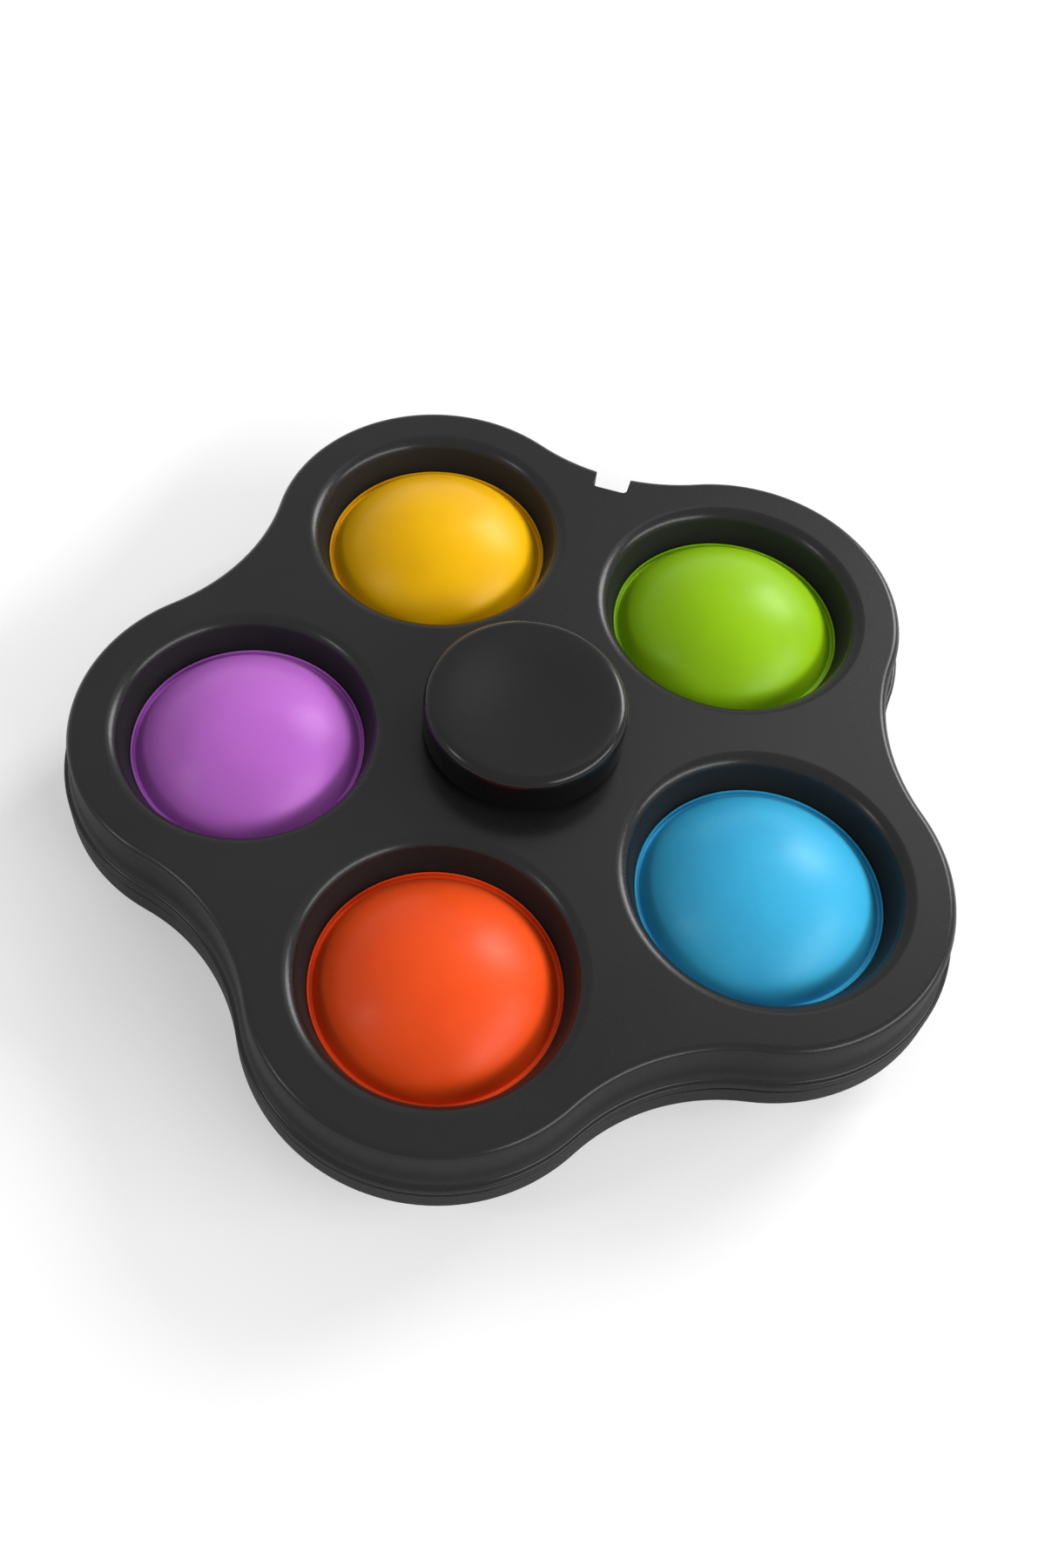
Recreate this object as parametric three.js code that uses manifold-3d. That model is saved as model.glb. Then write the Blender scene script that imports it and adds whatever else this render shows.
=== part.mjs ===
import * as THREE from 'three';
import { mergeVertices } from 'three/addons/utils/BufferGeometryUtils.js';
import Module from 'manifold-3d';

// A hand spinner whose body has five lobes, each with a silicone bubble that pops through it.
// Millimetres, +Z up. The origin lies on the spin axis, in the flat face of the lower finger
// cap, which the toy stands on. Red points to -Y, and the strap notch to +Y.

const wasm = await Module();
wasm.setup();

// Fits
const seatGap = 0.3;            // between two pieces that touch, and round a locating pin
const bubbleGap = 0.3;          // from a bubble's neck to the lip of its well
const seamGap = 0.3;            // the parting line that shows between the two shells
const overrun = 1;              // how far a cut runs past the face that it opens

// Ball bearing of the common 8 x 22 x 7 size
const bearingBoreRadius = 4;
const bearingRadius = 11;
const bearingWidth = 7;
const ballCount = 7;
const ballPlay = 0.12;          // round a ball, in its grooves and its pocket
const grooveShare = 0.6;        // of the half way from the bore to the outside
const raceLandShare = 0.28;     // of a ball's radius, from a groove's floor to its race's land
const shieldThickness = 0.4;
const shieldInset = 0.2;        // from a race's end face to the shield
const shieldSeatDepth = 0.6;    // how far a shield's edge reaches behind the outer land
const cageShare = 0.42;         // of the room between the two lands
const cageRimHeight = 0.35;     // above and below a ball's pocket
const cageGap = 0.45;           // the least room from the cage to a shield

// Silicone bubbles
const bubbleRadius = 12.2;      // outside, at the foot of the dome
const bubbleRise = 6.05;        // from the foot to the crown
const bubbleWall = 1.1;
const bubbleNeckHeight = 0.5;   // from the flange up to the foot
const flangeGrip = 2.1;         // how far the flange reaches past the neck
const flangeThickness = 1.2;
const crownRadius = 6.5;        // the middle of the dome, which a finger pushes
const webGap = 0.3;             // between the crown and the web that rolls round it

// Body shells
const bodyThickness = 10.3;
const upperTierHeight = 6.8;    // from the top face down to the parting line
const shellWall = 1.8;
const hubWall = 2;
const bearingLip = 1.5;         // how far a shell reaches over the bearing's outer race
const wellWall = 1.6;
const wellLipHeight = 0.7;      // the straight lip at the foot of a well
const wellFlare = 2.1;          // from the lip out to the mouth
const wellEdgeRadius = 0.5;
const flangeWall = 1;           // the upstand that centres a bubble's flange
const rimWidth = 4.2;           // from a well's mouth to the tip of its lobe
const waistFilletRadius = 22.8;
const topEdgeRadius = 0.9;
const bottomEdgeRadius = 0.9;
const tierStep = 1;             // how far the lower tier stands out past the upper one
const tierEdgeRadius = 0.3;
const tierRimHeight = 1.2;      // of the upper shell's share of the lower tier
const coveHeight = 2.2;         // of the hollow curve that leads down to the ledge
const tongueHeight = 1.5;       // above the parting line
const tongueThickness = 1.2;
const pinRadius = 1.4;
const pinReach = 4;             // above the parting line
const pinSocketWall = 1;
const notchWidth = 3.5;
const notchDepth = 2.4;
const notchCornerRadius = 0.5;

// Finger caps
const capRadius = 10.6;
const capStand = 5.5;           // from a body face out to the cap's face
const capGap = 0.7;             // between a body face and the cap's rim
const capEdgeRadius = 0.6;
const capWall = 1.5;
const capFaceThickness = 1.8;
const capDishDepth = 0.4;
const capDishRadius = 9;
const capNeckInset = 0.4;       // from the inner race's land in to the cap's neck
const capPinRadius = 2.4;
const capPinFit = 0.3;          // round the upper cap's pin, in the lower cap's sleeve
const capPinReach = 3;          // past the middle of the bearing

// Smoothness
const lobeSteps = 12;
const waistSteps = 4;
const curveSteps = 2;
const grooveSteps = 4;
const roundSteps = 28;
const capSteps = 32;
const pinSteps = 8;
const ballSteps = 12;

// Layout
const bubbles = [
  { name: 'red', colour: '#de4a1c' },
  { name: 'blue', colour: '#3ca7cf' },
  { name: 'green', colour: '#8cbb16' },
  { name: 'yellow', colour: '#e0a80a' },
  { name: 'purple', colour: '#b063be' },
];
const quarterTurn = Math.PI / 2;
const lobeStep = 2 * Math.PI / bubbles.length;
const firstLobeAngle = -quarterTurn;
const notchAngle = quarterTurn;

// Heights that follow
const bodyBottom = capStand;
const bodyTop = bodyBottom + bodyThickness;
const middle = (bodyBottom + bodyTop) / 2;
const seam = bodyTop - upperTierHeight;
const capTop = bodyTop + capStand;
const bearingTop = middle + bearingWidth / 2;
const bearingBottom = middle - bearingWidth / 2;
const flangeTop = middle + flangeThickness / 2;
const flangeBottom = middle - flangeThickness / 2;
const ledge = seam + tierRimHeight;

// Bearing heights that follow, from the bearing's middle up
const shieldFace = bearingWidth / 2 - shieldInset;
const shieldBack = shieldFace - shieldThickness;
const recess = shieldBack - seatGap;

// The balls are as large as the races' walls and the shields leave room for.
const groove = Math.min(
  (bearingRadius - bearingBoreRadius) / 2 * grooveShare,
  shieldBack - cageGap - cageRimHeight,
);
const ballRadius = groove - ballPlay;
const raceLandDepth = ballRadius * raceLandShare;
const cageHalfHeight = groove + cageRimHeight;

// Radii that follow
const hubRadius = bearingRadius + seatGap + hubWall;
const flangeRadius = bubbleRadius + flangeGrip;
const flangeSeatRadius = flangeRadius + seatGap;
const flangeWallRadius = flangeSeatRadius + flangeWall;
const lipRadius = bubbleRadius + bubbleGap;
const mouthRadius = lipRadius + wellFlare;
const lobeCircleRadius = hubRadius + seatGap + flangeWallRadius;
const lobeRadius = mouthRadius + rimWidth;
const ballCircleRadius = (bearingBoreRadius + bearingRadius) / 2;
const innerLandRadius = ballCircleRadius - ballRadius + raceLandDepth;
const outerLandRadius = ballCircleRadius + ballRadius - raceLandDepth;
const cageThickness = (outerLandRadius - innerLandRadius) * cageShare;
const pinSocketRadius = pinRadius + seatGap;
const bossRadius = pinSocketRadius + pinSocketWall;
const tongueInset = shellWall + seatGap;

// The arc of a waist touches the arcs of the two lobes beside it.
const waistCentreRadius = lobeCircleRadius * Math.cos(lobeStep / 2)
  + Math.sqrt((lobeRadius + waistFilletRadius) ** 2 - (lobeCircleRadius * Math.sin(lobeStep / 2)) ** 2);
const waistRadius = waistCentreRadius - waistFilletRadius;
const lobeArc = Math.atan2(
  waistCentreRadius * Math.sin(lobeStep / 2),
  waistCentreRadius * Math.cos(lobeStep / 2) - lobeCircleRadius,
);
const waistArc = lobeArc - lobeStep / 2;
const pinCircleRadius = waistRadius - tongueInset - tongueThickness - seatGap - bossRadius;

// Solids

function solidFrom(geometry) {
  const bare = geometry.clone();
  bare.deleteAttribute('normal');
  bare.deleteAttribute('uv');
  const merged = mergeVertices(bare);
  const corners = merged.index.array;
  const kept = [];
  for (let i = 0; i < corners.length; i += 3) {
    const [a, b, c] = corners.slice(i, i + 3);
    if (a !== b && b !== c && c !== a) kept.push(a, b, c);
  }
  return new wasm.Manifold(new wasm.Mesh({
    numProp: 3,
    vertProperties: merged.attributes.position.array,
    triVerts: new Uint32Array(kept),
  }));
}

function geometryFrom(solid) {
  const mesh = solid.getMesh();
  const geometry = new THREE.BufferGeometry();
  geometry.setAttribute('position', new THREE.BufferAttribute(mesh.vertProperties, mesh.numProp));
  geometry.setIndex(new THREE.BufferAttribute(mesh.triVerts, 1));
  geometry.computeVertexNormals();
  return geometry;
}

// A solid turned round the Z axis. The profile's x is the radius and its y the height, and it
// runs anticlockwise: outwards along the bottom, up the outside and back along the top.
function turned(points, steps = roundSteps) {
  const geometry = new THREE.LatheGeometry(points, steps);
  geometry.rotateX(quarterTurn);
  return solidFrom(geometry);
}

function at(radius, height) {
  return new THREE.Vector2(radius, height);
}

function ringProfile(points) {
  return [...points, points[0].clone()];
}

function disc(radius, bottom, top, steps) {
  return turned([at(0, bottom), at(radius, bottom), at(radius, top), at(0, top)], steps);
}

function extruded(shape, bottom, top) {
  const geometry = new THREE.ExtrudeGeometry(shape, { depth: top - bottom, bevelEnabled: false });
  geometry.translate(0, 0, bottom);
  return solidFrom(geometry);
}

function polar(radius, angle) {
  return [radius * Math.cos(angle), radius * Math.sin(angle), 0];
}

function placed(solid, radius, angle) {
  return solid.translate(polar(radius, angle));
}

// The body's outline, set out from the upper tier's own outline by offset.
function outline(offset) {
  const points = [];
  const lobeSize = lobeRadius + offset;
  const waistSize = waistFilletRadius - offset;
  for (let i = 0; i < bubbles.length; i++) {
    const lobeAngle = firstLobeAngle + i * lobeStep;
    const waistAngle = lobeAngle + lobeStep / 2;
    const [lobeX, lobeY] = polar(lobeCircleRadius, lobeAngle);
    const [waistX, waistY] = polar(waistCentreRadius, waistAngle);
    const back = waistAngle + Math.PI;
    const lobe = new THREE.EllipseCurve(
      lobeX, lobeY, lobeSize, lobeSize, lobeAngle - lobeArc, lobeAngle + lobeArc, false,
    );
    const waist = new THREE.EllipseCurve(
      waistX, waistY, waistSize, waistSize, back + waistArc, back - waistArc, true,
    );
    points.push(...lobe.getPoints(lobeSteps).slice(1));
    points.push(...waist.getPoints(waistSteps).slice(1));
  }
  return points;
}

// A solid with the body's outline at every level. The side's x is the offset of the outline
// and its y the height, from the bottom up.
function lofted(side) {
  const count = outline(0).length;
  const positions = [];
  const faces = [];
  for (const level of side) {
    for (const point of outline(level.x)) positions.push(point.x, point.y, level.y);
  }
  for (let level = 0; level + 1 < side.length; level++) {
    for (let i = 0; i < count; i++) {
      const here = level * count + i;
      const next = level * count + (i + 1) % count;
      faces.push(here, next, here + count, next, next + count, here + count);
    }
  }
  const bottomCentre = side.length * count;
  const topCentre = bottomCentre + 1;
  const lastRing = (side.length - 1) * count;
  positions.push(0, 0, side[0].y, 0, 0, side.at(-1).y);
  for (let i = 0; i < count; i++) {
    const next = (i + 1) % count;
    faces.push(bottomCentre, next, i);
    faces.push(topCentre, lastRing + i, lastRing + next);
  }
  const geometry = new THREE.BufferGeometry();
  geometry.setAttribute('position', new THREE.Float32BufferAttribute(positions, 3));
  geometry.setIndex(faces);
  return solidFrom(geometry);
}

function atEachLobe(solid) {
  return bubbles.map((bubble, i) => placed(solid, lobeCircleRadius, firstLobeAngle + i * lobeStep));
}

function atEachWaist(solid) {
  return bubbles.map((bubble, i) => placed(solid, pinCircleRadius, notchAngle + i * lobeStep));
}

function joined(first, others) {
  return others.reduce((whole, other) => whole.add(other), first);
}

function cut(whole, cutters) {
  return cutters.reduce((left, cutter) => left.subtract(cutter), whole);
}

// Strap notch, in the waist between green and yellow

const notchFloor = waistRadius - notchDepth;
const notchReach = waistRadius + tierStep + overrun;

function notchCutter() {
  const side = notchWidth / 2;
  const shape = new THREE.Shape();
  shape.moveTo(side, notchReach);
  shape.lineTo(-side, notchReach);
  shape.lineTo(-side, notchFloor + notchCornerRadius);
  shape.quadraticCurveTo(-side, notchFloor, notchCornerRadius - side, notchFloor);
  shape.lineTo(side - notchCornerRadius, notchFloor);
  shape.quadraticCurveTo(side, notchFloor, side, notchFloor + notchCornerRadius);
  shape.closePath();
  return extruded(shape, bodyBottom - overrun, bodyTop + overrun);
}

// The wall round the notch is as thick as the shell's outer wall.
function notchSurround(extra, bottom, top) {
  const side = notchWidth / 2 + shellWall + extra;
  const back = notchFloor - shellWall - extra;
  const shape = new THREE.Shape();
  shape.moveTo(-side, back);
  shape.lineTo(side, back);
  shape.lineTo(side, notchReach);
  shape.lineTo(-side, notchReach);
  shape.closePath();
  return extruded(shape, bottom, top);
}

// Wells: a straight lip round the bubble's neck, then a flare out to a rounded mouth

function upperWellCutter() {
  const lipBottom = flangeTop + seatGap;
  const profile = new THREE.Path();
  profile.moveTo(0, lipBottom - overrun);
  profile.lineTo(lipRadius, lipBottom - overrun);
  profile.lineTo(lipRadius, lipBottom + wellLipHeight);
  profile.lineTo(mouthRadius - wellEdgeRadius, bodyTop - wellEdgeRadius);
  profile.quadraticCurveTo(mouthRadius - wellEdgeRadius, bodyTop, mouthRadius, bodyTop);
  profile.lineTo(mouthRadius, bodyTop + overrun);
  profile.lineTo(0, bodyTop + overrun);
  return turned(profile.getPoints(curveSteps));
}

function lowerWellCutter() {
  const lipTop = flangeBottom - seatGap;
  const profile = new THREE.Path();
  profile.moveTo(0, bodyBottom - overrun);
  profile.lineTo(mouthRadius, bodyBottom - overrun);
  profile.lineTo(mouthRadius, bodyBottom);
  profile.quadraticCurveTo(
    mouthRadius - wellEdgeRadius, bodyBottom, mouthRadius - wellEdgeRadius, bodyBottom + wellEdgeRadius,
  );
  profile.lineTo(lipRadius, lipTop - wellLipHeight);
  profile.lineTo(lipRadius, lipTop + overrun);
  profile.lineTo(0, lipTop + overrun);
  return turned(profile.getPoints(curveSteps));
}

// Upper shell: top face, rounded edge, plain wall, cove and ledge, with the lower rim of the
// ledge on the parting line. Inside it are the wells, the bearing seat and the pin sockets.
function upperShell() {
  const bottom = seam + seamGap / 2;
  const side = new THREE.Path();
  side.moveTo(tierStep, bottom);
  side.lineTo(tierStep, ledge - tierEdgeRadius);
  side.quadraticCurveTo(tierStep, ledge, tierStep - tierEdgeRadius, ledge);
  side.quadraticCurveTo(0, ledge, 0, ledge + coveHeight);
  side.lineTo(0, bodyTop - topEdgeRadius);
  side.quadraticCurveTo(0, bodyTop, -topEdgeRadius, bodyTop);
  const block = lofted(side.getPoints(curveSteps));
  const ceiling = bodyTop - shellWall;
  const cavity = extruded(new THREE.Shape(outline(-shellWall)), bottom - overrun, ceiling);
  const rooted = bodyTop - shellWall / 2;
  const wellBottom = flangeTop + seatGap;
  const well = turned([
    at(0, wellBottom),
    at(lipRadius + wellWall, wellBottom),
    at(lipRadius + wellWall, wellBottom + wellLipHeight),
    at(mouthRadius + wellWall, rooted),
    at(0, rooted),
  ]);
  const features = joined(disc(hubRadius, bottom, rooted), [
    ...atEachLobe(well),
    ...atEachWaist(disc(bossRadius, bottom, rooted, pinSteps)),
    notchSurround(0, bottom, rooted),
  ]);
  const socket = disc(pinSocketRadius, bottom - overrun, seam + pinReach + seatGap, pinSteps);
  return cut(block.subtract(cavity).add(features.intersect(block)), [
    ...atEachLobe(upperWellCutter()),
    ...atEachWaist(socket),
    disc(bearingRadius + seatGap, bottom - overrun, bearingTop + seatGap),
    disc(bearingRadius - bearingLip, bottom, bodyTop + overrun),
    notchCutter(),
  ]);
}

// Lower shell: bottom face, rounded edge and wall, with a tongue that fits inside the upper
// shell's wall, the seats that the bubbles' flanges lie on, and the locating pins.
function lowerShell() {
  const top = seam - seamGap / 2;
  const side = new THREE.Path();
  side.moveTo(tierStep - bottomEdgeRadius, bodyBottom);
  side.quadraticCurveTo(tierStep, bodyBottom, tierStep, bodyBottom + bottomEdgeRadius);
  side.lineTo(tierStep, top);
  const block = lofted(side.getPoints(curveSteps));
  const floor = bodyBottom + shellWall;
  const rooted = bodyBottom + shellWall / 2;
  const cavity = extruded(new THREE.Shape(outline(-shellWall)), floor, top + overrun);
  const lowFeatures = disc(hubRadius, rooted, top).add(notchSurround(0, rooted, top));
  const tongueShape = new THREE.Shape(outline(-tongueInset));
  tongueShape.holes.push(new THREE.Path(outline(-tongueInset - tongueThickness)));
  const tongueTop = seam + tongueHeight;
  const tongue = extruded(tongueShape, rooted, tongueTop)
    .subtract(notchSurround(seatGap, top, tongueTop + overrun));
  const flangeSeat = disc(flangeWallRadius, rooted, flangeTop);
  const pin = disc(pinRadius, rooted, seam + pinReach, pinSteps);
  const whole = block.subtract(cavity).add(lowFeatures.intersect(block));
  return cut(joined(whole, [tongue, ...atEachLobe(flangeSeat), ...atEachWaist(pin)]), [
    ...atEachLobe(disc(flangeSeatRadius, flangeBottom - seatGap, flangeTop + overrun)),
    ...atEachLobe(lowerWellCutter()),
    disc(bearingRadius + seatGap, bearingBottom - seatGap, flangeTop + overrun),
    disc(bearingRadius - bearingLip, bodyBottom - overrun, top),
    notchCutter(),
  ]);
}

// Bubble: one silicone moulding. Its crown travels and the web between crown and flange
// rolls over, so the two are separate solids that meet on a ring.

const foot = flangeTop + bubbleNeckHeight;
const domeRadius = (bubbleRadius ** 2 + bubbleRise ** 2) / (2 * bubbleRise);
const domeCentre = foot + bubbleRise - domeRadius;

function domeHeight(size, radius) {
  return domeCentre + Math.sqrt(size ** 2 - radius ** 2);
}

function domeArc(size, from, to) {
  const points = [];
  for (let i = 0; i <= curveSteps; i++) {
    const radius = from + (to - from) * i / curveSteps;
    points.push(at(radius, domeHeight(size, radius)));
  }
  return points;
}

function bubbleWeb() {
  const neckInside = bubbleRadius - bubbleWall;
  const edge = crownRadius + webGap;
  return turned(ringProfile([
    at(neckInside, flangeBottom),
    at(flangeRadius, flangeBottom),
    at(flangeRadius, flangeTop),
    at(bubbleRadius, flangeTop),
    ...domeArc(domeRadius, bubbleRadius, edge),
    ...domeArc(domeRadius - bubbleWall, edge, neckInside),
  ]));
}

function bubbleCrown() {
  return turned([
    ...domeArc(domeRadius - bubbleWall, 0, crownRadius),
    ...domeArc(domeRadius, crownRadius, 0),
  ]);
}

// Bearing pieces, about the bearing's own centre

// A groove from one land's edge to the other, round the side of the ball that faces towards.
function grooveArc(towards) {
  const half = Math.acos((ballRadius - raceLandDepth) / groove);
  const curve = new THREE.EllipseCurve(
    ballCircleRadius, 0, groove, groove, towards + half, towards - half, true,
  );
  return curve.getPoints(grooveSteps);
}

function outerRace() {
  const half = bearingWidth / 2;
  const seat = outerLandRadius + shieldSeatDepth;
  return turned(ringProfile([
    at(seat, -half),
    at(bearingRadius, -half),
    at(bearingRadius, half),
    at(seat, half),
    at(seat, recess),
    at(outerLandRadius, recess),
    ...grooveArc(0),
    at(outerLandRadius, -recess),
    at(seat, -recess),
  ]));
}

function innerRace() {
  const half = bearingWidth / 2;
  return turned(ringProfile([
    at(bearingBoreRadius, -half),
    at(innerLandRadius, -half),
    ...grooveArc(Math.PI),
    at(innerLandRadius, half),
    at(bearingBoreRadius, half),
  ]));
}

function shield() {
  const inside = innerLandRadius + seatGap;
  const outside = outerLandRadius + shieldSeatDepth - seatGap;
  return turned(ringProfile([
    at(inside, shieldBack),
    at(outside, shieldBack),
    at(outside, shieldFace),
    at(inside, shieldFace),
  ]));
}

function ballGeometry(radius) {
  return new THREE.SphereGeometry(radius, ballSteps, ballSteps - 2);
}

function ballCage() {
  const inside = ballCircleRadius - cageThickness / 2;
  const outside = ballCircleRadius + cageThickness / 2;
  const ring = turned(ringProfile([
    at(inside, -cageHalfHeight),
    at(outside, -cageHalfHeight),
    at(outside, cageHalfHeight),
    at(inside, cageHalfHeight),
  ]));
  const pocket = solidFrom(ballGeometry(groove));
  const pockets = [];
  for (let i = 0; i < ballCount; i++) pockets.push(placed(pocket, ballCircleRadius, ballAngle(i)));
  return cut(ring, pockets);
}

function ballAngle(i) {
  return firstLobeAngle + i * 2 * Math.PI / ballCount;
}

// Finger caps: the upper one's pin goes into the lower one's sleeve, inside the bearing

const neckRadius = innerLandRadius - capNeckInset;
const sleeveRadius = bearingBoreRadius - seatGap;
const capPinEnd = middle - capPinReach;

function upperCap() {
  const neckBottom = bearingTop + seatGap;
  const rimBottom = bodyTop + capGap;
  const hollowTop = capTop - capFaceThickness;
  const profile = new THREE.Path();
  profile.moveTo(0, capPinEnd);
  profile.lineTo(capPinRadius, capPinEnd);
  profile.lineTo(capPinRadius, neckBottom);
  profile.lineTo(neckRadius, neckBottom);
  profile.lineTo(neckRadius, hollowTop);
  profile.lineTo(capRadius - capWall, hollowTop);
  profile.lineTo(capRadius - capWall, rimBottom);
  profile.lineTo(capRadius, rimBottom);
  profile.lineTo(capRadius, capTop - capEdgeRadius);
  profile.quadraticCurveTo(capRadius, capTop, capRadius - capEdgeRadius, capTop);
  profile.lineTo(capDishRadius, capTop);
  profile.quadraticCurveTo(capDishRadius / 2, capTop - capDishDepth, 0, capTop - capDishDepth);
  return turned(profile.getPoints(curveSteps), capSteps);
}

function lowerCap() {
  const neckTop = bearingBottom - seatGap;
  const rimTop = bodyBottom - capGap;
  const sleeveTop = middle + capPinReach;
  const sleeveBore = capPinRadius + capPinFit;
  const profile = new THREE.Path();
  profile.moveTo(0, 0);
  profile.lineTo(capRadius - capEdgeRadius, 0);
  profile.quadraticCurveTo(capRadius, 0, capRadius, capEdgeRadius);
  profile.lineTo(capRadius, rimTop);
  profile.lineTo(capRadius - capWall, rimTop);
  profile.lineTo(capRadius - capWall, capFaceThickness);
  profile.lineTo(neckRadius, capFaceThickness);
  profile.lineTo(neckRadius, neckTop);
  profile.lineTo(sleeveRadius, neckTop);
  profile.lineTo(sleeveRadius, sleeveTop);
  profile.lineTo(sleeveBore, sleeveTop);
  profile.lineTo(sleeveBore, capPinEnd - capPinFit);
  profile.lineTo(0, capPinEnd - capPinFit);
  return turned(profile.getPoints(curveSteps), capSteps);
}

// Materials

const shellPlastic = { color: '#2f2f30', roughness: 0.5, metalness: 0 };
const capPlastic = { color: '#2b2b2b', roughness: 0.45, metalness: 0 };
const bearingSteel = { color: '#c3c6c9', roughness: 0.22, metalness: 1 };
const pressedSteel = { color: '#a9adb0', roughness: 0.35, metalness: 1 };
const siliconeRoughness = 0.5;

function piece(name, geometry, finish) {
  const mesh = new THREE.Mesh(geometry, new THREE.MeshStandardMaterial(finish));
  mesh.name = name;
  return mesh;
}

// Assembly

const toy = new THREE.Group();
toy.add(piece('upper_shell', geometryFrom(upperShell()), shellPlastic));
toy.add(piece('lower_shell', geometryFrom(lowerShell()), shellPlastic));
toy.add(piece('upper_finger_cap', geometryFrom(upperCap()), capPlastic));
toy.add(piece('lower_finger_cap', geometryFrom(lowerCap()), capPlastic));

bubbles.forEach(({ name, colour }, i) => {
  const bubble = new THREE.Group();
  const silicone = { color: colour, roughness: siliconeRoughness, metalness: 0 };
  bubble.position.set(...polar(lobeCircleRadius, firstLobeAngle + i * lobeStep));
  bubble.add(piece(`${name}_bubble_web`, geometryFrom(bubbleWeb()), silicone));
  bubble.add(piece(`${name}_bubble_crown`, geometryFrom(bubbleCrown()), silicone));
  toy.add(bubble);
});

const bearing = new THREE.Group();
bearing.position.z = middle;
bearing.add(piece('bearing_outer_race', geometryFrom(outerRace()), bearingSteel));
bearing.add(piece('bearing_inner_race', geometryFrom(innerRace()), bearingSteel));
bearing.add(piece('bearing_ball_cage', geometryFrom(ballCage()), pressedSteel));
bearing.add(piece('bearing_upper_shield', geometryFrom(shield()), pressedSteel));
const lowerShield = piece('bearing_lower_shield', geometryFrom(shield()), pressedSteel);
lowerShield.rotation.x = Math.PI;
bearing.add(lowerShield);
for (let i = 0; i < ballCount; i++) {
  const ball = piece(`bearing_ball_${i + 1}`, ballGeometry(ballRadius), bearingSteel);
  ball.position.set(...polar(ballCircleRadius, ballAngle(i)));
  bearing.add(ball);
}
toy.add(bearing);

export default toy;
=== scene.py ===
import math
import bpy
from mathutils import Matrix, Vector


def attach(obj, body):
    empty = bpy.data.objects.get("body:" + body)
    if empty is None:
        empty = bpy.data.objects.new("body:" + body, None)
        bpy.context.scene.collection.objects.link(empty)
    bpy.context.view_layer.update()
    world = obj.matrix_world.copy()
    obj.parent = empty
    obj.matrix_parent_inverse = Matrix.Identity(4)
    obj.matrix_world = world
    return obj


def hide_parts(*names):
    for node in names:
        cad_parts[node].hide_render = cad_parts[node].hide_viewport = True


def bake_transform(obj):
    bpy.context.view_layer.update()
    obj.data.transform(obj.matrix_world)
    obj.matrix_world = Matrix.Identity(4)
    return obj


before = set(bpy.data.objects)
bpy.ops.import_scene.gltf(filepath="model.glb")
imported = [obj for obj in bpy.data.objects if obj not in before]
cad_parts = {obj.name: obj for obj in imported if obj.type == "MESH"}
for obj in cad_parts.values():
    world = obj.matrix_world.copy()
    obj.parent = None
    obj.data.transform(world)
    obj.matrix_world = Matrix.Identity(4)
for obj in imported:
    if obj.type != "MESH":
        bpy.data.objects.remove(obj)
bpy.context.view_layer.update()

mm = 0.001


# Small helpers for working in edit mode as by hand

def nothingSelected():
    if bpy.context.mode != "OBJECT":
        bpy.ops.object.mode_set(mode="OBJECT")
    bpy.ops.object.select_all(action="DESELECT")


def workOn(piece):
    nothingSelected()
    piece.select_set(True)
    bpy.context.view_layer.objects.active = piece


def startPoint(name, x, y, z):  # one vertex, ready to be extruded or spun
    nothingSelected()
    bpy.ops.mesh.primitive_plane_add(size=mm, location=(x * mm, y * mm, z * mm))
    piece = bpy.context.object
    piece.name = name
    bpy.ops.object.transform_apply(location=True, rotation=True, scale=True)
    bpy.ops.object.mode_set(mode="EDIT")
    bpy.ops.mesh.select_mode(type="VERT")
    bpy.ops.mesh.select_all(action="SELECT")
    bpy.ops.mesh.merge(type="CENTER")
    return piece


def selectFaces(piece, chosen):  # by their place or normal, and stays in edit mode
    workOn(piece)
    for part in (*piece.data.vertices, *piece.data.edges):
        part.select = False
    for face in piece.data.polygons:
        face.select = chosen(face)
    bpy.ops.object.mode_set(mode="EDIT")
    bpy.ops.mesh.select_mode(type="FACE")


def extrudeBy(x, y, z):
    bpy.ops.mesh.extrude_region_move(TRANSFORM_OT_translate={"value": (x * mm, y * mm, z * mm)})


def drawSection(points):  # extrudes the last vertex from point to point of an (r, z) section
    for (x0, z0), (x1, z1) in zip(points, points[1:]):
        extrudeBy(x1 - x0, 0, z1 - z0)


def arcPoints(centre, radius, fromDegrees, toDegrees, steps):
    turn = (toDegrees - fromDegrees) / steps
    angles = [math.radians(fromDegrees + turn * i) for i in range(steps + 1)]
    return [(centre[0] + radius * math.cos(a), centre[1] + radius * math.sin(a)) for a in angles]


def outwards():  # merges doubles and turns all faces out, at the end of an edit
    bpy.ops.mesh.select_all(action="SELECT")
    bpy.ops.mesh.remove_doubles(threshold=0.001 * mm)
    bpy.ops.mesh.normals_make_consistent(inside=False)
    bpy.ops.object.mode_set(mode="OBJECT")


def lathe(name, section, steps, x=0, y=0):  # an (r, z) section turned round an upright axis
    piece = startPoint(name, x + section[0][0], y, section[0][1])
    drawSection(section)
    bpy.ops.mesh.select_all(action="SELECT")
    bpy.ops.mesh.spin(steps=steps, angle=2 * math.pi, center=(x * mm, y * mm, 0), axis=(0, 0, 1))
    outwards()
    return piece


def slab(name, corners, bottom, top):  # a flat outline drawn in plan and extruded upwards
    piece = startPoint(name, *corners[0], bottom)
    for (x0, y0), (x1, y1) in zip(corners, corners[1:]):
        extrudeBy(x1 - x0, y1 - y0, 0)
    bpy.ops.mesh.select_all(action="SELECT")
    bpy.ops.mesh.edge_face_add()
    extrudeBy(0, 0, top - bottom)
    outwards()
    return piece


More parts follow.
